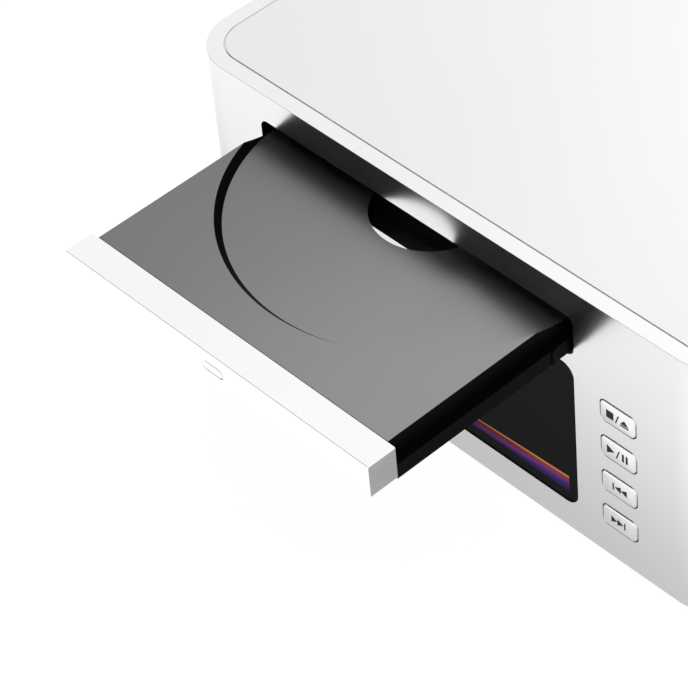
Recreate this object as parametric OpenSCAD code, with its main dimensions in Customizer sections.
// Compact desktop disc player: a one-piece aluminium housing with an inset top panel, a front colour
// display, four front buttons and a motor-driven disc tray.
// Inside the file x = 0 is the middle of the tray, y = 0 the front face (+y into the housing) and
// z = 0 the housing's bottom edge. in_frame() moves that onto the part's own origin.

/* [Housing] */
// Width of the housing
housing_w = 216; // [205:1:300]
// Depth of the housing
housing_d = 218; // [200:1:300]
// Height of the housing without its feet
housing_h = 96; // [90:1:140]
// Radius of the four upright corners
corner_r = 17; // [12:0.5:22]
// Wall thickness of the housing
wall = 5.25; // [4:0.05:7]
// Thickness of the inset top panel
top_t = 3; // [2:0.1:4]
// Width of the shadow gap round the top panel
panel_gap = 0.35; // [0.2:0.05:0.8]
// Thickness of the base plate
base_t = 2.5; // [1.5:0.1:4]
// Distance from the left side to the middle of the tray
tray_from_left = 97; // [92:1:110]

/* [Front openings] */
// Drop from the top of the housing to the top of the tray
tray_drop = 11; // [10:0.1:14]
// Clearance between the bezel and the slot, at the sides and above
slot_gap = 1; // [0.5:0.05:2]
// Corner radius of the tray slot
slot_r = 3; // [1:0.1:3]
// Width of the display window
display_w = 126.4; // [100:0.2:150]
// Height of the display window
display_h = 56.2; // [40:0.2:60]
// Height of the display window's lower edge
display_z = 10.6; // [8:0.1:14]
// Corner radius of the display window
display_r = 4.4; // [2:0.1:6]
// Gap round the display window
window_gap = 0.2; // [0.1:0.05:0.4]
// Thickness of the display window
window_t = 1.8; // [1:0.1:2.2]
// Width of a button
button_w = 13.4; // [10:0.1:16]
// Height of a button
button_h = 8; // [6:0.1:10]
// Distance between two buttons
button_pitch = 14; // [12:0.1:15]
// Gap round a button
button_gap = 0.25; // [0.15:0.05:0.4]
// Travel of a button
button_travel = 0.7; // [0.4:0.1:1]

/* [Tray] */
// Width of the tray
tray_w = 119.4; // [118:0.2:121]
// Length of the tray behind its bezel
tray_l = 163.8; // [160:0.2:172]
// How far the tray stands out of the housing
tray_out = 75.8; // [60:0.2:90]
// Width of the bezel
bezel_w = 125.4; // [124:0.2:130]
// Height of the bezel
bezel_h = 11.7; // [11:0.1:13]
// Radius of the bezel's corners
bezel_r = 0.4; // [0.2:0.1:2]
// Thickness of the bezel
bezel_t = 10; // [6:0.1:12]
// Distance from the bezel's front to the middle of the disc
disc_from_front = 84.6; // [82:0.2:90]
// Radius of the disc seat at its rim
rim_r = 62.6; // [62:0.1:64]
// Radius of the disc seat at its floor
seat_r = 60.5; // [60.2:0.1:61.5]
// Depth of the disc seat
seat_depth = 2.3; // [1.8:0.1:3]
// Thickness of the tray under the disc seat
tray_floor_t = 1.5; // [1.2:0.1:1.8]
// Radius of the hub opening
hub_r = 18.7; // [17:0.1:20]

/* [Loading gears] */
// Gear module
gear_m = 1; // [0.8:0.1:1.1]
// Teeth of the pinion that drives the tray's rack
rack_pinion_n = 22; // [18:1:26]
// Teeth of the large tier of the drive gear
drive_wheel_n = 36; // [30:2:36]
// Teeth of the small tier of the pulley gear
pulley_pinion_n = 12; // [10:2:14]
// Groove radius of the large pulley
pulley_r = 14; // [12:0.5:15]
// Groove radius of the motor pulley
motor_pulley_r = 3; // [2.5:0.1:4]
// Diameter of the gear pins
gear_pin_d = 3; // [2:0.1:4]
// Diameter of the belt
belt_d = 1.2; // [1:0.1:1.6]

/* [Disc drive] */
// Height that the traverse lifts the disc drive
lift = 5; // [4:0.1:5.2]
// Travel of the cam slider
cam_travel = 16; // [14:0.5:18]
// Radius of the turntable
turntable_r = 14.5; // [12:0.1:16]
// Diameter of the pickup's guide rods
rod_d = 3; // [2:0.1:4]
// Distance between the guide rods
rod_pitch = 40; // [34:0.5:42]
// Running clearance of a pin in its bore, on the radius
run_gap = 0.05; // [0.02:0.01:0.08]

/* [Feet] */
// Diameter of a foot
foot_d = 32; // [20:1:40]
// Height of the feet with their pads
foot_h = 6; // [4:0.5:12]
// Distance from the housing's sides to a foot's middle
foot_inset = 28; // [26:1:40]

/* [Rear] */
// Thickness of the rear panel
rear_t = 2; // [1.5:0.1:3]
// How far the audio sockets stand out behind the housing
jack_out = 9.5; // [8:0.5:12]
// Outer diameter of an audio socket
jack_d = 8.3; // [8:0.1:8.6]
// Height of the sockets' row
jack_z = 34; // [30:1:40]
// Radius of the bore in the middle of an audio socket
jack_bore_r = 1.65; // [1.6:0.01:1.8]
// Depth of that bore
jack_bore_l = 8; // [6:0.5:8]

/* [Hidden] */
$fn = 64;
eps = 0.5;
screw_d = 3;
small_screw_d = 2;
screw_gap = 0.05;
slide_gap = 0.2;
sheet_t = 1.5;
board_t = 1.6;
board_z = 8;

left_x = -tray_from_left;
right_x = housing_w - tray_from_left;
mid_x = (left_x + right_x) / 2;
mid_y = (housing_d + jack_out - tray_out) / 2;
post_inset = 11.5;
post_r = 5;
stud_r = 2;
stud_l = 7;
inner_front = wall;
inner_rear = housing_d - wall;

tray_top = housing_h - tray_drop;
seat_z = tray_top - seat_depth;
tray_floor = seat_z - tray_floor_t;
bezel_z = tray_top - bezel_h;
skirt_t = 2;
skirt_z = bezel_z - 0.6;
runner_half = bezel_w / 2 - 0.2;
ledge_z = tray_top - 7;
rib_t = 0.4;
rib_y = [disc_from_front - 15.3, bezel_t + tray_l - 8];
slot_w = bezel_w + 2 * slot_gap;
slot_z = bezel_z - 2.2;
slot_top = tray_top + 0.7;

button_x = display_w / 2 + 10.2 + button_w / 2;
button_mid_z = display_z + display_h / 2 - 1.3;
button_proud = 0.4;
carrier_t = 4.6;
flange_t = 1;
flange_lip = 1;
plunger_y = inner_front + 0.1 + flange_t + 2.6;
switch_y = plunger_y + button_travel + 0.1;
control_y = switch_y + 2.2;
button_z = [for (i = [0:3]) button_mid_z + (1.5 - i) * button_pitch];
stop_z = button_z[0];
play_z = button_z[1];
previous_z = button_z[2];
next_z = button_z[3];
boss_z = [button_z[3] - button_pitch / 2 - 1.5, button_z[0] + button_pitch / 2 + 1.5];

chassis_y = bezel_t + 1;
chassis_end = tray_l + bezel_t + 6;
side_gap = 0.6;
chassis_x = runner_half + side_gap;
chassis_t = 3;
deck_z = tray_top - 17;
deck_t = 2;
shelf_z = tray_top - 25;
ear_z = tray_top - 23;
ear_t = 3;
ear_y = [chassis_y + 14, chassis_end - 30];
ear_out = 12;
bracket_x = chassis_x + chassis_t + 1.7;
bracket_end = chassis_end - 8;
bracket_foot_y = [foot_inset + 20, ear_y[1]];
flange_w = 9;
bracket_hole_x = bracket_x + sheet_t + flange_w / 2;

drive_y = 30;
tooth_pitch = PI * gear_m;
rack_line_x = 44;
rack_pinion_r = gear_m * rack_pinion_n / 2;
drive_wheel_r = gear_m * drive_wheel_n / 2;
pulley_pinion_r = gear_m * pulley_pinion_n / 2;
drive_x = rack_line_x - rack_pinion_r;
pulley_x = drive_x - drive_wheel_r - pulley_pinion_r;
motor_x = pulley_x - 39;
rack_z = tray_top - 8;
belt_z = deck_z + 6.8;
wheel_t = 3.6;
rack_first = -ceil((tray_out + 1) / tooth_pitch);
rack_last = floor((tray_l + bezel_t - tray_out - drive_y - 2) / tooth_pitch);

spin_y = disc_from_front;
cam_y = spin_y - 31;
cam_t = 2;
cam_pin_x = 20;
cam_pin_r = 1.2;
cam_pin_z = tray_top - 18;
traverse_y = cam_y + cam_t + 2.5;
traverse_l = 98;
traverse_w = 80;
traverse_z = tray_top - 19;
traverse_t = 3;
traverse_top = traverse_z + traverse_t;
guide_x = 52;
guide_y = [spin_y - 12, spin_y + 60];
guide_r = 2;
rod_z = traverse_top + 3;
rod_y = spin_y + 13;
rod_l = 54;
block_t = 3;
pickup_y = spin_y + 26;
pickup_half = 10;
pickup_top = tray_top - 9.4;
screw_x = -31;
lead_z = traverse_top + 1.5;
lead_r = 1.5;

bridge_z = tray_top + 2;
bridge_t = 2;
bridge_l = 33;
puck_neck_r = 8.3;
puck_hole_r = puck_neck_r + 0.3;

rear_w = housing_w - 2 * corner_r - 4;
rear_h = housing_h - 24;
rear_z = 12;
rear_lip = 6;
rear_r = 3;
collar_t = 1.2;
inlet_x = mid_x + rear_w / 2 - 20;
rocker_x = inlet_x - 30;
rocker_tilt = 8;
audio_x = [mid_x - 66, mid_x - 44];
coax_x = mid_x - 22;
optical_x = mid_x - 4;
usb_x = mid_x + 14;

power_x0 = bracket_x + sheet_t + flange_w + 2.5;
power_x1 = right_x - wall - 3;
power_y0 = 26;
power_y1 = housing_d - 34;
main_x = chassis_x - 2;
main_y = [18, 118];
output_y = [126, housing_d - 10];

// ---- shared shapes ----

module in_frame() {
    translate([-mid_x, -mid_y, foot_h]) children();
}

// Rounded rectangle centred on the origin.
module round_rect(w, d, r) {
    square([w - 2 * r, d], center = true);
    square([w, d - 2 * r], center = true);
    for (x = [-1, 1], y = [-1, 1])
        translate([x * (w / 2 - r), y * (d / 2 - r)]) circle(r = r);
}

// Slab of the housing's outline, moved in from it by inset.
module housing_slab(z0, z1, inset) {
    translate([mid_x, housing_d / 2, z0])
        linear_extrude(z1 - z0)
            round_rect(housing_w - 2 * inset, housing_d - 2 * inset, corner_r - inset);
}

// Rounded plate that stands upright: w wide, h high, from y0 to y1, with its lower edge at z0.
module upright(x, z0, w, h, r, y0, y1) {
    translate([x, y1, z0 + h / 2])
        rotate([90, 0, 0])
            linear_extrude(y1 - y0) round_rect(w, h, r);
}

// Box from one corner to the opposite one.
module block(low, high) {
    translate(low) cube(high - low);
}

// Cylinder along +y.
module rod_along_y(x, y, z, r, l) {
    translate([x, y, z]) rotate([-90, 0, 0]) cylinder(r = r, h = l);
}

// Gear outline with straight-sided teeth, one of them on the +x axis.
module gear_outline(teeth) {
    pitch_r = gear_m * teeth / 2;
    root_r = pitch_r - 1.2 * gear_m;
    tip_r = pitch_r + 0.9 * gear_m;
    circle(r = root_r);
    for (i = [0:teeth - 1])
        rotate(i * 360 / teeth)
            polygon([[root_r - 0.4, -0.85 * gear_m], [root_r, -0.85 * gear_m], [pitch_r, -0.6 * gear_m],
                [tip_r, -0.3 * gear_m], [tip_r, 0.3 * gear_m], [pitch_r, 0.6 * gear_m],
                [root_r, 0.85 * gear_m], [root_r - 0.4, 0.85 * gear_m]]);
}

// Pan-head screw that points up from z = 0, its head below, with a cross recess.
module screw(d, l) {
    difference() {
        union() {
            cylinder(d = d, h = l, $fn = 32);
            translate([0, 0, -0.6 * d]) cylinder(d = 1.9 * d, h = 0.6 * d, $fn = 32);
        }
        for (turn = [0, 90])
            rotate(turn)
                translate([-0.55 * d, -0.12 * d, -0.6 * d - eps]) cube([1.1 * d, 0.24 * d, 0.35 * d + eps]);
    }
}

// Screw bore along +z from z = 0.
module screw_bore(d, l) {
    cylinder(d = d + 2 * screw_gap, h = l, $fn = 32);
}

// The four places at one inset from the housing's sides.
module at_corners(inset) {
    for (x = [left_x + inset, right_x - inset], y = [inset, housing_d - inset])
        translate([x, y, 0]) children();
}

// ---- housing ----

// Extruded and milled sleeve: front, sides and back in one piece, open above and below.
module housing_shell() {
    color("gainsboro") in_frame() difference() {
        union() {
            difference() {
                housing_slab(0, housing_h, 0);
                housing_slab(-eps, housing_h + eps, wall);
            }
            at_corners(post_inset)
                translate([0, 0, base_t + slide_gap])
                    cylinder(r = post_r, h = housing_h - top_t - slide_gap - (base_t + slide_gap));
            for (z = boss_z)
                rod_along_y(button_x, inner_front - eps, z, 2.5, control_y - inner_front + eps);
        }
        at_corners(post_inset) {
            translate([0, 0, -eps]) screw_bore(screw_d, 14);
            translate([0, 0, housing_h - top_t - stud_l - 1]) cylinder(r = stud_r + run_gap, h = stud_l + 2);
        }
        for (z = boss_z)
            translate([button_x, control_y - 4, z]) rotate([-90, 0, 0]) screw_bore(small_screw_d, 6);
        upright(0, slot_z, slot_w, slot_top - slot_z, slot_r, -eps, wall + eps);
        display_opening();
        for (z = button_z)
            upright(button_x, z - button_h / 2 - button_gap, button_w + 2 * button_gap,
                button_h + 2 * button_gap, 2 + button_gap, -eps, wall + eps);
        for (p = display_screw_places())
            translate([p.x, inner_front - 3, p.y]) rotate([-90, 0, 0]) screw_bore(small_screw_d, 4);
        upright(mid_x, rear_z, rear_w, rear_h, rear_r, housing_d - rear_t, housing_d + eps);
        upright(mid_x, rear_z + rear_lip, rear_w - 2 * rear_lip, rear_h - 2 * rear_lip, rear_r,
            housing_d - wall - eps, housing_d);
        for (p = rear_screw_places())
            translate([p.x, housing_d - rear_t + eps, p.y]) rotate([90, 0, 0])
                screw_bore(small_screw_d, 3 + eps);
    }
}

// Window seat with a ledge behind the glass.
module display_opening() {
    ledge = 2.5;
    upright(0, display_z - window_gap, display_w + 2 * window_gap, display_h + 2 * window_gap,
        display_r + window_gap, -eps, window_t + 0.6);
    upright(0, display_z + ledge, display_w - 2 * ledge, display_h - 2 * ledge, 2, 0, wall + eps);
}

function display_screw_places() =
    [for (x = [-1, 1], z = [10, display_h - 10]) [x * (display_w / 2 + 2.4), display_z + z]];

function rear_screw_places() =
    [for (x = [-1, 0, 1], z = [rear_lip / 2, rear_h - rear_lip / 2])
        [mid_x + x * (rear_w / 2 - 12), rear_z + z]];

// Flat lid that drops into the sleeve, held by four studs in the corner posts.
module top_panel() {
    color("whitesmoke") in_frame() {
        housing_slab(housing_h - top_t, housing_h, wall + panel_gap);
        at_corners(post_inset)
            translate([0, 0, housing_h - top_t - stud_l]) cylinder(r = stud_r, h = stud_l + eps);
    }
}

// Steel floor with vents, screwed up into the corner posts.
module base_plate() {
    vents = 9;
    color("dimgray") in_frame() difference() {
        housing_slab(0, base_t, wall + panel_gap);
        at_corners(post_inset) {
            translate([0, 0, -eps]) screw_bore(screw_d, base_t + 2 * eps);
            translate([0, 0, -eps]) cylinder(d = 1.9 * screw_d + 0.4, h = 1.8 + eps);
        }
        at_corners(foot_inset) translate([0, 0, -eps]) screw_bore(screw_d, base_t + 2 * eps);
        for (i = [0:vents - 1], y = [60, housing_d - 60])
            block([mid_x + (i - (vents - 1) / 2) * 12 - 1.5, y - 14, -eps],
                [mid_x + (i - (vents - 1) / 2) * 12 + 1.5, y + 14, base_t + eps]);
        for (p = standoff_places()) translate([p.x, p.y, -eps]) screw_bore(screw_d, base_t + 2 * eps);
        for (side = [-1, 1], y = bracket_foot_y)
            translate([side * bracket_hole_x, y, -eps]) screw_bore(screw_d, base_t + 2 * eps);
    }
}

// Turned aluminium foot with a pocket for its pad.
module foot(x, y) {
    color("silver") in_frame() translate([x, y, 0]) difference() {
        translate([0, 0, 1 - foot_h]) cylinder(d = foot_d, h = foot_h - 1);
        translate([0, 0, -foot_h]) cylinder(d = foot_d - 7, h = 3.4);
        translate([0, 0, -foot_h]) screw_bore(screw_d, foot_h + eps);
    }
}

module foot_front_left() { foot(left_x + foot_inset, foot_inset); }
module foot_front_right() { foot(right_x - foot_inset, foot_inset); }
module foot_rear_left() { foot(left_x + foot_inset, housing_d - foot_inset); }
module foot_rear_right() { foot(right_x - foot_inset, housing_d - foot_inset); }

// Rubber discs glued into the feet.
module foot_pads() {
    color("black") in_frame() at_corners(foot_inset)
        translate([0, 0, -foot_h]) cylinder(d = foot_d - 7.4, h = 3.2);
}

module base_screws() {
    color("gray") in_frame() at_corners(post_inset)
        translate([0, 0, 1.8]) screw(screw_d, 9);
}

// Screws from inside the housing down into the feet.
module foot_screws() {
    color("gray") in_frame() at_corners(foot_inset)
        translate([0, 0, base_t]) rotate([180, 0, 0]) screw(screw_d, base_t + foot_h - 3.6);
}

// ---- rear ----

module rear_panel() {
    color("dimgray") in_frame() difference() {
        upright(mid_x, rear_z + 0.15, rear_w - 0.3, rear_h - 0.3, rear_r - 0.1,
            housing_d - rear_t, housing_d);
        for (p = rear_screw_places())
            translate([p.x, housing_d + eps, p.y]) rotate([90, 0, 0])
                screw_bore(small_screw_d, rear_t + 2 * eps);
        for (x = concat(audio_x, [coax_x]))
            rod_along_y(x, housing_d - rear_t - eps, jack_z, jack_d / 2 + 0.4, rear_t + 2 * eps);
        upright(optical_x, jack_z - 5, 10, 10, 1, housing_d - rear_t - eps, housing_d + eps);
        upright(usb_x, jack_z - 3.6, 14.2, 7.2, 1, housing_d - rear_t - eps, housing_d + eps);
        upright(inlet_x, jack_z - 10.2, 27.8, 20.4, 3, housing_d - rear_t - eps, housing_d + eps);
        upright(rocker_x, jack_z - 10.2, 14.4, 20.4, 1, housing_d - rear_t - eps, housing_d + eps);
    }
}

module rear_panel_screws() {
    color("gray") in_frame() for (p = rear_screw_places())
        translate([p.x, housing_d, p.y]) rotate([90, 0, 0]) screw(small_screw_d, rear_t + 2.6);
}

// Round audio socket: a mount block on its board, a turned barrel and the centre bore.
module round_jack(x) {
    difference() {
        union() {
            rod_along_y(x, housing_d + collar_t - eps, jack_z, jack_d / 2, jack_out - collar_t + eps);
            rod_along_y(x, housing_d, jack_z, jack_d / 2 + 1.2, collar_t);
            rod_along_y(x, inner_rear - 1, jack_z, jack_d / 2 - 0.3, wall + 2);
            block([x - 5, inner_rear - 13, board_z + board_t], [x + 5, inner_rear - 0.5, jack_z + 6]);
        }
        rod_along_y(x, housing_d + jack_out - jack_bore_l, jack_z, jack_bore_r, jack_bore_l + eps);
    }
}

module audio_jacks() {
    color("gold") in_frame() for (x = audio_x) round_jack(x);
}

// Digital output block: coaxial, optical and memory-stick sockets.
module digital_jacks() {
    depth = 14;
    color("dimgray") in_frame() {
        round_jack(coax_x);
        difference() {
            union() {
                upright(optical_x, jack_z - 4.8, 9.6, 9.6, 0.8, housing_d - depth, housing_d + 1);
                block([optical_x - 4.8, housing_d - depth, board_z + board_t],
                    [optical_x + 4.8, housing_d - depth + 8, jack_z]);
            }
            upright(optical_x, jack_z - 3.2, 6.4, 6.4, 0.4, housing_d - 9, housing_d + 1 + eps);
        }
        difference() {
            union() {
                upright(usb_x, jack_z - 3.4, 13.8, 6.8, 0.6, housing_d - depth, housing_d + 0.6);
                block([usb_x - 6.9, housing_d - depth, board_z + board_t],
                    [usb_x + 6.9, housing_d - depth + 8, jack_z]);
            }
            upright(usb_x, jack_z - 2.6, 12.4, 5.2, 0.3, housing_d - 10, housing_d + 0.6 + eps);
        }
    }
}

// Three-pin mains inlet.
module power_inlet() {
    color("black") in_frame() {
        difference() {
            union() {
                upright(inlet_x, jack_z - 12, 31, 24, 4, housing_d, housing_d + 2.5);
                upright(inlet_x, jack_z - 10, 27.4, 20, 2.8, housing_d - 20, housing_d + eps);
            }
            upright(inlet_x, jack_z - 8, 24, 16, 3, housing_d - 15, housing_d + 2.5 + eps);
        }
        for (p = [[-7, -2], [0, 2], [7, -2]])
            block([inlet_x + p.x - 1, housing_d - 15 - eps, jack_z + p.y - 2],
                [inlet_x + p.x + 1, housing_d - 1, jack_z + p.y + 2]);
    }
}

// Body of the mains switch, with a pocket that the rocker tilts in.
module power_switch() {
    color("black") in_frame() difference() {
        union() {
            upright(rocker_x, jack_z - 11.5, 17, 23, 1.5, housing_d, housing_d + 1.5);
            upright(rocker_x, jack_z - 10, 14, 20, 0.8, housing_d - 18, housing_d + eps);
        }
        upright(rocker_x, jack_z - 8.6, 11, 17.2, 0.6, housing_d - 7, housing_d + 1.5 + eps);
        translate([rocker_x - 6.6, housing_d - 2.5, jack_z])
            rotate([0, 90, 0]) cylinder(r = 1 + run_gap, h = 13.2, $fn = 32);
    }
}

// Rocker on its own cross pin, pressed at the top.
module power_rocker() {
    color("black") in_frame() translate([rocker_x, housing_d - 2.5, jack_z]) rotate([rocker_tilt, 0, 0]) {
        rotate([0, 90, 0]) translate([0, 0, -5])
            linear_extrude(10)
                polygon([[-7.6, -0.6], [7.6, -0.6], [7.6, 4.4], [0, 3.2], [-7.6, 4.4]]);
        translate([-6.3, 0, 0]) rotate([0, 90, 0]) cylinder(r = 1, h = 12.6, $fn = 32);
    }
}

// ---- display and buttons ----

module display_window() {
    color("black") in_frame()
        upright(0, display_z, display_w, display_h, display_r, 0.4, 0.4 + window_t);
}

// Colour panel behind the window, with its backlight tray.
module display_module() {
    in_x = display_w - 6;
    color("darkslategray") in_frame()
        upright(0, display_z + 3, in_x, display_h - 6, 1, 0.4 + window_t + 0.1, inner_front + 2.6);
}

// Moulded carrier that clamps the display module to the back of the front wall.
module display_frame() {
    in_x = display_w / 2 - 2.6;
    out_x = display_w / 2 + 4.8;
    y0 = inner_front + 0.05;
    color("black") in_frame() difference() {
        block([-out_x, y0, display_z - 2], [out_x, y0 + carrier_t, display_z + display_h + 1.6]);
        block([-in_x, y0 - eps, display_z + 2.6], [in_x, y0 + 2.8, display_z + display_h - 2.6]);
        block([-in_x + 30, y0 + 2, display_z + 14], [in_x - 30, y0 + 5, display_z + display_h - 14]);
        for (p = display_screw_places())
            translate([p.x, y0 - eps, p.y]) rotate([-90, 0, 0]) screw_bore(small_screw_d, 6);
    }
}

// Small screws of the display carrier and of the control board.
module front_screws() {
    color("gray") in_frame() {
        for (p = display_screw_places())
            translate([p.x, inner_front + 0.05 + carrier_t, p.y])
                rotate([90, 0, 0]) screw(small_screw_d, 6.8);
        for (z = boss_z)
            translate([button_x, control_y + board_t, z]) rotate([90, 0, 0]) screw(small_screw_d, 5);
    }
}

// Aluminium key with a retaining flange and a plunger towards its switch.
module front_button(z) {
    color("whitesmoke") in_frame() {
        upright(button_x, z - button_h / 2, button_w, button_h, 2, -button_proud, inner_front + 0.6);
        upright(button_x, z - button_h / 2 - flange_lip, button_w + 2 * flange_lip,
            button_h + 2 * flange_lip, 2, inner_front + 0.1, inner_front + 0.1 + flange_t);
        rod_along_y(button_x, inner_front + flange_t, z, 1.5, plunger_y - inner_front - flange_t);
    }
}

module stop_eject_button() { front_button(stop_z); }
module play_pause_button() { front_button(play_z); }
module previous_button() { front_button(previous_z); }
module next_button() { front_button(next_z); }

module control_board() {
    color("darkgreen") in_frame() difference() {
        union() {
            block([max(button_x - 11, chassis_x + chassis_t + 0.7), control_y, boss_z[0] - 4],
                [button_x + 11, control_y + board_t, boss_z[1] + 4]);
            block([button_x - 7, control_y + board_t - 0.1, play_z - 9],
                [button_x + 7, control_y + board_t + 3, play_z - 4]);
        }
        for (z = boss_z)
            translate([button_x, control_y - eps, z]) rotate([-90, 0, 0]) screw_bore(small_screw_d, 4);
    }
}

module tact_switches() {
    color("silver") in_frame() for (z = button_z) {
        block([button_x - 3, switch_y + 0.5, z - 3], [button_x + 3, control_y, z + 3]);
        rod_along_y(button_x, switch_y, z, 1.6, 1);
    }
}

// ---- loader ----

// Moulded frame of the loader: side walls with tray rails, gear deck, side shelves and guide pins.
module loader_chassis() {
    rail = 2.8;
    inner = chassis_x;
    beam_y = cam_y - 1.4;
    color("darkslategray") in_frame() difference() {
        union() {
            for (side = [-1, 1]) scale([side, 1, 1]) {
                block([inner, chassis_y, shelf_z], [inner + chassis_t, chassis_end, bridge_z]);
                block([inner - rail, chassis_y, skirt_z - slide_gap - 3.4],
                    [inner + 1, chassis_end, skirt_z - slide_gap]);
                block([tray_w / 2 + side_gap, chassis_y, ledge_z + 0.3],
                    [inner + 1, spin_y - 18, ledge_z + 3.3]);
                block([40, cam_y + 3, shelf_z - 2], [inner + 1, chassis_end, shelf_z]);
                for (y = ear_y)
                    block([inner + 1, y - 6, ear_z], [inner + chassis_t + ear_out, y + 6, ear_z + ear_t]);
                for (y = guide_y)
                    translate([guide_x, y, shelf_z - 1]) cylinder(r = guide_r, h = 17);
            }
            block([-inner - 1, inner_front + carrier_t + 0.35, deck_z - deck_t], [inner + 1, beam_y, deck_z]);
            block([-inner - 1, beam_y, shelf_z - 4], [inner + 1, beam_y + 4.8, shelf_z + 2]);
            block([-inner - 1, beam_y, shelf_z + 1], [inner + 1, beam_y + 1.2, deck_z]);
            block([-inner - 1, chassis_end - 8, shelf_z - 2], [inner + 1, chassis_end, shelf_z + 6]);
            for (x = [drive_x, pulley_x])
                translate([x, drive_y, deck_z - 1]) cylinder(d = gear_pin_d, h = 13.4);
            for (x = [drive_x, pulley_x])
                translate([x, drive_y, deck_z - 1]) cylinder(r = gear_pin_d / 2 + 1.5, h = 1.6);
            for (x = [-10, 26])
                translate([x, drive_y, deck_z - deck_t - 2.6]) cylinder(r = 2.5, h = 3);
        }
        block([-inner - eps, cam_y - slide_gap, shelf_z - 1],
            [inner + eps, cam_y + cam_t + slide_gap, shelf_z + 3]);
        translate([motor_x, drive_y, deck_z - deck_t - eps]) cylinder(r = 4, h = deck_t + 2 * eps);
        for (dx = [-6.5, 6.5])
            translate([motor_x + dx, drive_y, deck_z - deck_t - eps])
                screw_bore(small_screw_d, deck_t + 2 * eps);
        for (side = [-1, 1], y = ear_y)
            translate([side * bracket_hole_x, y, ear_z - eps]) screw_bore(screw_d, ear_t + 2 * eps);
        for (p = bridge_screw_places()) translate([p.x, p.y, bridge_z - 6]) screw_bore(small_screw_d, 7);
    }
}

function bridge_screw_places() =
    [for (x = [-1, 1], y = [-1, 1]) [x * (chassis_x + chassis_t / 2), spin_y + y * (bridge_l / 2 - 4)]];

// Folded steel bracket that carries one side of the loader.
module loader_bracket(side) {
    color("silver") in_frame() scale([side, 1, 1]) difference() {
        union() {
            block([bracket_x, chassis_y + 7, base_t], [bracket_x + sheet_t, bracket_end, ear_z]);
            block([bracket_x, chassis_y + 7, ear_z - sheet_t],
                [bracket_x + sheet_t + flange_w, bracket_end, ear_z]);
            block([bracket_x, foot_inset + 10, base_t],
                [bracket_x + sheet_t + flange_w, bracket_end, base_t + sheet_t]);
        }
        block([bracket_x - eps, 0, 0], [bracket_x + sheet_t + eps, foot_inset + 8, base_t + 10]);
        for (y = ear_y)
            translate([bracket_hole_x, y, ear_z - sheet_t - eps]) screw_bore(screw_d, sheet_t + 2 * eps);
        for (y = bracket_foot_y)
            translate([bracket_hole_x, y, base_t - eps]) screw_bore(screw_d, sheet_t + 2 * eps);
        for (i = [0:3])
            translate([bracket_x - eps, 45 + i * 30, (base_t + ear_z) / 2])
                rotate([0, 90, 0]) cylinder(r = 9, h = sheet_t + 2 * eps);
    }
}

module loader_bracket_left() { loader_bracket(-1); }
module loader_bracket_right() { loader_bracket(1); }

module bracket_screws() {
    color("gray") in_frame() for (side = [-1, 1]) {
        for (y = ear_y)
            translate([side * bracket_hole_x, y, ear_z + ear_t])
                rotate([180, 0, 0]) screw(screw_d, ear_t + sheet_t + 2);
        for (y = bracket_foot_y)
            translate([side * bracket_hole_x, y, base_t + sheet_t])
                rotate([180, 0, 0]) screw(screw_d, base_t + sheet_t);
    }
}

// ---- tray ----

// Drawn closed, then moved out to where it stands.
module at_tray() {
    translate([0, -tray_out, 0]) children();
}

// Disc tray: seat with a sloped rim, hub opening that runs out at the back, stepped sides and rack.
module tray() {
    half = tray_w / 2;
    tray_end = bezel_t + tray_l;
    under = ledge_z - skirt_t;
    tooth_root = rack_line_x + 1.2 * gear_m;
    color("gray") in_frame() at_tray() {
        difference() {
            union() {
                block([-half, bezel_t, tray_floor], [half, tray_end, tray_top]);
                for (side = [-1, 1]) scale([side, 1, 1]) {
                    block([half - skirt_t, bezel_t, under], [half, tray_end, tray_floor + eps]);
                    block([half - skirt_t, bezel_t, under], [runner_half, tray_end, ledge_z]);
                    block([runner_half - skirt_t, bezel_t, skirt_z], [runner_half, tray_end, ledge_z]);
                    for (y = rib_y)
                        block([runner_half - 1, y - 0.8, skirt_z], [runner_half + rib_t, y + 0.8, ledge_z]);
                }
                block([-half + 1, bezel_t, under - 1], [half - 1, bezel_t + 2.5, tray_floor + eps]);
                block([-runner_half + 1, bezel_t, skirt_z + 1], [runner_half - 1, bezel_t + 2.5, under + 1]);
            }
            translate([0, spin_y, seat_z]) cylinder(r1 = seat_r, r2 = rim_r, h = seat_depth, $fn = 128);
            translate([0, spin_y, tray_top - 0.01]) cylinder(r = rim_r, h = 1, $fn = 128);
            translate([0, spin_y, tray_floor - eps])
                cylinder(r = hub_r, h = seat_depth + tray_floor_t + 2 * eps);
            block([-hub_r, spin_y, tray_floor - eps], [hub_r, tray_end + eps, tray_top + eps]);
            for (p = bezel_screw_places())
                translate([p.x, bezel_t - eps, p.y]) rotate([-90, 0, 0]) screw_bore(small_screw_d, 4);
        }
        block([tooth_root, bezel_t + 4, rack_z], [tooth_root + 2.8, tray_end, tray_floor + eps]);
        for (k = [rack_first:rack_last])
            translate([tooth_root, drive_y + tray_out + (k + 0.5) * tooth_pitch, rack_z])
                linear_extrude(tray_floor - rack_z + eps)
                    polygon([[0.4, -0.85 * gear_m], [0, -0.85 * gear_m], [-1.2 * gear_m, -0.6 * gear_m],
                        [-2.1 * gear_m, -0.3 * gear_m], [-2.1 * gear_m, 0.3 * gear_m],
                        [-1.2 * gear_m, 0.6 * gear_m], [0, 0.85 * gear_m], [0.4, 0.85 * gear_m]]);
    }
}

function bezel_screw_places() = [for (x = [-40, 0, 40]) [x, bezel_z + 4.4]];

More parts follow.
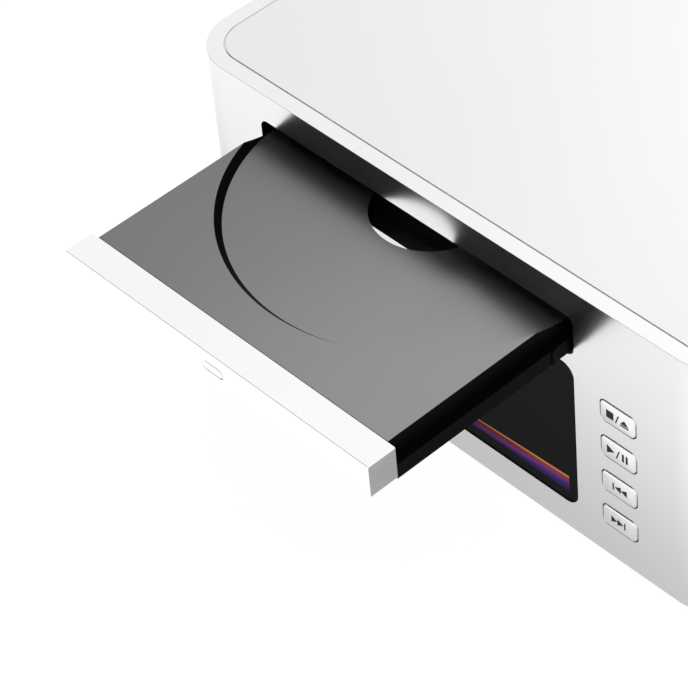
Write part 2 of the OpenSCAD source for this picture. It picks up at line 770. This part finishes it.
// Solid aluminium bar with a small engraved outline in the middle.
module tray_bezel() {
    mark_w = 9;
    mark_h = 3.6;
    color("whitesmoke") in_frame() at_tray() difference() {
        upright(0, bezel_z, bezel_w, bezel_h, bezel_r, 0, bezel_t);
        difference() {
            upright(0, bezel_z + (bezel_h - mark_h) / 2, mark_w, mark_h, mark_h / 2 - 0.01, -eps, 0.3);
            upright(0, bezel_z + (bezel_h - mark_h) / 2 + 0.5, mark_w - 1, mark_h - 1, mark_h / 2 - 0.51,
                -1, 0.6);
        }
        for (p = bezel_screw_places())
            translate([p.x, bezel_t - 5, p.y]) rotate([-90, 0, 0]) screw_bore(small_screw_d, 6);
    }
}

module bezel_screws() {
    color("gray") in_frame() at_tray() for (p = bezel_screw_places())
        translate([p.x, bezel_t + 2.5, p.y]) rotate([90, 0, 0]) screw(small_screw_d, 6.5);
}

// ---- loading drive ----

module loading_motor() {
    color("silver") in_frame() translate([motor_x, drive_y, 0]) {
        difference() {
            translate([0, 0, deck_z - deck_t - 15]) cylinder(r = 10, h = 15);
            for (dx = [-6.5, 6.5])
                translate([dx, 0, deck_z - deck_t - 3]) screw_bore(small_screw_d, 4);
        }
        translate([0, 0, deck_z - deck_t - eps]) cylinder(r = 3, h = 1.5 + eps);
        for (dx = [-6.5, 6.5])
            translate([dx, 0, deck_z]) rotate([180, 0, 0]) screw(small_screw_d, 4.2);
    }
}

// Grooved wheel for the belt, along +z from z = 0: groove radius r.
module grooved_wheel(r) {
    rotate_extrude($fn = 96)
        polygon([[0, 0], [r + 1.4, 0], [r + 1.4, 0.7], [r, 1.2],
            [r, 2.4], [r + 1.4, 2.9], [r + 1.4, wheel_t], [0, wheel_t]]);
}

module motor_pulley() {
    color("gold") in_frame() translate([motor_x, drive_y, 0]) {
        translate([0, 0, belt_z - wheel_t / 2]) grooved_wheel(motor_pulley_r);
        translate([0, 0, deck_z + 0.4]) cylinder(r = 1, h = 10, $fn = 32);
    }
}

module belt_loop(grow) {
    hull() {
        translate([motor_x, drive_y]) circle(r = motor_pulley_r + grow, $fn = 32);
        translate([pulley_x, drive_y]) circle(r = pulley_r + grow, $fn = 32);
    }
}

module loading_belt() {
    slack = 0.15;
    color("black") in_frame() translate([0, 0, belt_z - belt_d / 2]) linear_extrude(belt_d - 0.2)
        difference() {
            belt_loop(slack + belt_d);
            belt_loop(slack);
        }
}

// Large pulley with a small gear under it.
module pulley_gear() {
    color("ivory") in_frame() translate([pulley_x, drive_y, 0]) difference() {
        union() {
            translate([0, 0, deck_z + 1]) linear_extrude(3.2)
                rotate(180 / pulley_pinion_n) gear_outline(pulley_pinion_n);
            translate([0, 0, deck_z + 4]) cylinder(r = pulley_pinion_r - gear_m, h = 1.2);
            translate([0, 0, belt_z - wheel_t / 2]) grooved_wheel(pulley_r);
        }
        translate([0, 0, deck_z]) cylinder(r = gear_pin_d / 2 + run_gap, h = 14);
    }
}

// Large gear with the pinion that drives the tray's rack.
module drive_gear() {
    color("ivory") in_frame() translate([drive_x, drive_y, 0]) difference() {
        union() {
            translate([0, 0, deck_z + 1]) linear_extrude(3) gear_outline(drive_wheel_n);
            translate([0, 0, deck_z + 3]) cylinder(r = gear_pin_d / 2 + 2 * gear_m, h = 7);
            translate([0, 0, rack_z + 0.3]) linear_extrude(3.4) gear_outline(rack_pinion_n);
        }
        translate([0, 0, deck_z]) cylinder(r = gear_pin_d / 2 + run_gap, h = 14);
    }
}

module loader_board() {
    top = deck_z - deck_t - 2.6;
    color("darkgreen") in_frame() {
        block([-14, 16, top - board_t], [30, 46, top]);
        block([-6, 30, top - board_t - 4], [22, 36, top - board_t + 0.1]);
        block([0, 19, top - board_t - 2], [8, 27, top - board_t + 0.1]);
    }
}

// ---- disc drive ----

// Sliding plate whose two sloped slots lift the traverse.
module cam_slider() {
    slot_r0 = cam_pin_r + 0.25;
    rise = atan2(lift, cam_travel);
    run = norm([lift, cam_travel]);
    color("ivory") in_frame() difference() {
        block([-cam_pin_x - cam_travel - 8, cam_y, shelf_z - 0.4],
            [cam_pin_x + 8, cam_y + cam_t, tray_top - 8]);
        for (x = [-cam_pin_x, cam_pin_x])
            translate([x, cam_y - eps, cam_pin_z]) rotate([-90, 0, 0]) rotate(180 + rise) {
                cylinder(r = slot_r0, h = cam_t + 2 * eps, $fn = 32);
                translate([run, 0, 0]) cylinder(r = slot_r0, h = cam_t + 2 * eps, $fn = 32);
                translate([0, -slot_r0, 0]) cube([run, 2 * slot_r0, cam_t + 2 * eps]);
            }
    }
}

// Frame that carries the disc drive up to the disc and back.
module traverse_frame() {
    low = traverse_z;
    high = traverse_top;
    color("dimgray") in_frame() difference() {
        union() {
            block([-traverse_w / 2, traverse_y, low], [traverse_w / 2, traverse_y + traverse_l, high]);
            for (x = [-guide_x, guide_x], y = guide_y) {
                translate([x, y, low]) cylinder(r = 5.2, h = traverse_t);
                block([min(x, sign(x) * 36), y - 4, low], [max(x, sign(x) * 36), y + 4, high]);
            }
            for (x = [-cam_pin_x, cam_pin_x])
                rod_along_y(x, cam_y + 0.2, cam_pin_z, cam_pin_r, traverse_y - cam_y + 1);
            for (x = [-rod_pitch / 2, rod_pitch / 2], y = [rod_y - block_t, rod_y + rod_l])
                block([x - 4, y, high - eps], [x + 4, y + block_t, rod_z + 2.6]);
            for (y = [rod_y - 2, rod_y + rod_l - 4])
                block([screw_x - 3.6, y, high - eps], [screw_x + 3.6, y + 2, lead_z + 3]);
        }
        block([-26, rod_y + 2, low - eps], [26, rod_y + rod_l - 3, high + eps]);
        translate([0, spin_y, low - eps]) cylinder(r = 6, h = traverse_t + 2 * eps);
        block([screw_x - 6, rod_y + rod_l - 1.8, low - eps],
            [screw_x + 6, traverse_y + traverse_l + eps, high + eps]);
        for (x = [-rod_pitch / 2, rod_pitch / 2])
            rod_along_y(x, rod_y - block_t + 1, rod_z, rod_d / 2 + 0.02, rod_l + 2 * block_t - 2);
        rod_along_y(screw_x, rod_y - 3, lead_z, lead_r + run_gap, rod_l + 4);
        for (x = [-guide_x, guide_x], y = guide_y)
            translate([x, y, low - eps]) cylinder(r = 3.6, h = traverse_t + 2 * eps);
    }
}

// Rubber bushes between the traverse and its guide pins.
module traverse_dampers() {
    color("black") in_frame() for (x = [-guide_x, guide_x], y = guide_y)
        translate([x, y, traverse_z]) difference() {
            union() {
                cylinder(r = 3.58, h = traverse_t);
                translate([0, 0, traverse_t + 0.02]) cylinder(r = 4.6, h = 1.2);
                translate([0, 0, traverse_t - 0.2]) cylinder(r = 3.5, h = 1);
            }
            translate([0, 0, -eps]) cylinder(r = guide_r + 0.1, h = traverse_t + 4);
        }
}

module spindle_motor() {
    color("silver") in_frame() translate([0, spin_y, traverse_top]) {
        difference() {
            cylinder(r = 10.5, h = 5.6);
            translate([0, 0, 2]) cylinder(r = 1 + run_gap, h = 4, $fn = 32);
        }
    }
}

// Platter with its centring cone and spindle.
module turntable() {
    color("black") in_frame() translate([0, spin_y, tray_top]) {
        translate([0, 0, -8.6]) cylinder(r = turntable_r, h = 2.2);
        translate([0, 0, -6.5]) cylinder(r1 = 7.4, r2 = 5.6, h = 1.7);
        translate([0, 0, -13.4]) cylinder(r = 1, h = 6, $fn = 32);
        translate([0, 0, -9.8]) cylinder(r = 4, h = 1.6);
    }
}

// Laser sled on its two rods, with an arm over the lead screw.
module optical_pickup() {
    half_w = rod_pitch / 2 + 4.4;
    color("silver") in_frame() difference() {
        union() {
            block([-half_w, pickup_y - pickup_half, traverse_top + 0.5],
                [half_w, pickup_y + pickup_half, pickup_top]);
            block([screw_x - 3, pickup_y - 5, lead_z + lead_r + slide_gap],
                [-half_w + 1, pickup_y + 5, pickup_top]);
        }
        for (x = [-rod_pitch / 2, rod_pitch / 2])
            rod_along_y(x, pickup_y - pickup_half - 1, rod_z, rod_d / 2 + run_gap, 2 * pickup_half + 2);
        block([-9, pickup_y - 8, pickup_top - 2], [9, pickup_y + 8, pickup_top + 1]);
    }
}

// Lens holder in the middle of the sled.
module pickup_lens() {
    color("darkslategray") in_frame() translate([0, pickup_y, 0]) {
        block([-7.5, -6.5, pickup_top - 2], [7.5, 6.5, pickup_top]);
        translate([0, 0, pickup_top - 0.5]) cylinder(r = 4.5, h = 2.4);
        translate([0, 0, pickup_top + 1.8]) cylinder(r1 = 3.2, r2 = 2.4, h = 0.7);
    }
}

module guide_rods() {
    color("silver") in_frame() for (x = [-rod_pitch / 2, rod_pitch / 2])
        rod_along_y(x, rod_y - block_t + 1.2, rod_z, rod_d / 2, rod_l + 2 * block_t - 2.4);
}

// Feed screw, its thread drawn as rings.
module lead_screw() {
    rings = 15;
    color("silver") in_frame() translate([screw_x, rod_y - 2.4, lead_z]) rotate([-90, 0, 0]) {
        cylinder(r = lead_r - 0.35, h = rod_l + 0.4, $fn = 32);
        cylinder(r = lead_r, h = 3, $fn = 32);
        translate([0, 0, rod_l - 3]) cylinder(r = lead_r, h = 3, $fn = 32);
        for (i = [0:rings - 1])
            translate([0, 0, 5 + i * (rod_l - 10) / (rings - 1)]) cylinder(r = lead_r, h = 1.4, $fn = 32);
    }
}

module sled_motor() {
    color("silver") in_frame()
        rod_along_y(screw_x, rod_y + rod_l - 1.7, lead_z, 4.4, 13);
}

// ---- disc clamp ----

// Steel bridge across the loader that carries the clamp puck over the disc.
module clamp_bridge() {
    half = chassis_x + chassis_t;
    color("silver") in_frame() difference() {
        block([-half, spin_y - bridge_l / 2, bridge_z], [half, spin_y + bridge_l / 2, bridge_z + bridge_t]);
        translate([0, spin_y, bridge_z - eps]) cylinder(r = puck_hole_r, h = bridge_t + 2 * eps);
        for (p = bridge_screw_places())
            translate([p.x, p.y, bridge_z - eps]) screw_bore(small_screw_d, bridge_t + 2 * eps);
        for (side = [-1, 1])
            block([side * 36 - 10, spin_y - 6, bridge_z - eps],
                [side * 36 + 10, spin_y + 6, bridge_z + bridge_t + eps]);
    }
}

module bridge_screws() {
    color("gray") in_frame() for (p = bridge_screw_places())
        translate([p.x, p.y, bridge_z + bridge_t]) rotate([180, 0, 0]) screw(small_screw_d, 7);
}

// Puck that presses the disc on the turntable, hung in the bridge by its upper flange.
module clamp_puck() {
    color("dimgray") in_frame() translate([0, spin_y, bridge_z]) {
        translate([0, 0, -1.15]) cylinder(r = turntable_r - 0.5, h = 0.85);
        translate([0, 0, -0.6]) cylinder(r = puck_neck_r, h = bridge_t + 1);
        translate([0, 0, bridge_t + 0.25]) cylinder(r = 11, h = 1.4);
    }
}

// ---- boards ----

function standoff_places() = concat(
    [for (x = [-main_x + 6, main_x - 6], y = [main_y[0] + 5, main_y[1] - 5]) [x, y]],
    [for (x = [-main_x + 6, main_x - 6], y = [output_y[0] + 5, output_y[1] - 24]) [x, y]],
    [for (x = [power_x0 + 5, power_x1 - 5], y = [power_y0 + 5, power_y1 - 5]) [x, y]]);

module board_holes() {
    for (p = standoff_places()) translate([p.x, p.y, board_z - eps]) screw_bore(screw_d, board_t + 2 * eps);
}

// Package that is soldered on a board: a box of the given size, centred on x and y.
module chip(x, y, size) {
    translate([x - size.x / 2, y - size.y / 2, board_z + board_t - 0.1]) cube(size);
}

module main_board() {
    color("darkgreen") in_frame() difference() {
        union() {
            block([-main_x, main_y[0], board_z], [main_x, main_y[1], board_z + board_t]);
            chip(-8, 70, [24, 24, 2]);
            chip(26, 72, [12, 16, 1.6]);
            chip(26, 94, [12, 16, 1.6]);
            chip(-38, 60, [8, 8, 1.4]);
            chip(0, main_y[0] + 6, [30, 6, 4]);
            chip(-36, main_y[1] - 8, [20, 6, 8]);
        }
        board_holes();
    }
}

module output_board() {
    color("darkblue") in_frame() difference() {
        union() {
            block([-main_x, output_y[0], board_z], [main_x, output_y[1], board_z + board_t]);
            chip(-20, output_y[0] + 30, [12, 12, 1.6]);
            chip(6, output_y[0] + 30, [8, 6, 1.6]);
            chip(34, output_y[0] + 20, [20, 6, 8]);
            for (i = [0:4])
                translate([-44 + i * 11, output_y[0] + 12, board_z + 1]) cylinder(r = 4, h = 12);
            for (x = [-44, -30]) chip(x, output_y[0] + 46, [10, 16, 10]);
        }
        board_holes();
    }
}

// Mains supply: transformer, smoothing capacitors and heat sink on one board.
module power_board() {
    mid = (power_x0 + power_x1) / 2;
    color("darkgreen") in_frame() difference() {
        union() {
            block([power_x0, power_y0, board_z], [power_x1, power_y1, board_z + board_t]);
            chip(mid, 120, [24, 32, 26]);
            chip(mid, 120, [18, 42, 20]);
            for (y = [50, 70]) translate([mid, y, board_z + 1]) cylinder(r = 8, h = 28);
            for (x = [mid - 6, mid + 6]) translate([x, 156, board_z + 1]) cylinder(r = 5, h = 18);
            chip(mid, 88, [24, 2, 24]);
            for (i = [-2:2]) chip(mid + i * 5, 92, [1.2, 8, 24]);
        }
        board_holes();
    }
}

module board_standoffs() {
    color("gold") in_frame() for (p = standoff_places()) translate([p.x, p.y, base_t]) difference() {
        cylinder(r = 3, h = board_z - base_t, $fn = 6);
        translate([0, 0, -eps]) screw_bore(screw_d, board_z);
    }
}

module board_screws() {
    color("gray") in_frame() for (p = standoff_places())
        translate([p.x, p.y, board_z + board_t]) rotate([180, 0, 0]) screw(screw_d, board_t + 4);
}

// Flat cable from the display module down to the main board.
module display_ribbon() {
    y0 = inner_front + 2.7;
    color("white") in_frame() {
        block([-10, y0, 28], [10, y0 + 5, 28.3]);
        block([-10, y0 + 4.7, board_z + board_t + 2], [10, y0 + 5, 28.3]);
        block([-10, y0 + 4.7, board_z + board_t + 2], [10, main_y[0] + 3, board_z + board_t + 2.3]);
    }
}

housing_shell();
top_panel();
base_plate();
rear_panel();
foot_front_left();
foot_front_right();
foot_rear_left();
foot_rear_right();
foot_pads();
base_screws();
foot_screws();
rear_panel_screws();
display_window();
display_module();
display_frame();
front_screws();
stop_eject_button();
play_pause_button();
previous_button();
next_button();
control_board();
tact_switches();
loader_chassis();
loader_bracket_left();
loader_bracket_right();
bracket_screws();
tray();
tray_bezel();
bezel_screws();
loading_motor();
motor_pulley();
loading_belt();
pulley_gear();
drive_gear();
loader_board();
cam_slider();
traverse_frame();
traverse_dampers();
spindle_motor();
turntable();
optical_pickup();
pickup_lens();
guide_rods();
lead_screw();
sled_motor();
clamp_bridge();
bridge_screws();
clamp_puck();
main_board();
output_board();
power_board();
board_standoffs();
board_screws();
display_ribbon();
audio_jacks();
digital_jacks();
power_inlet();
power_switch();
power_rocker();
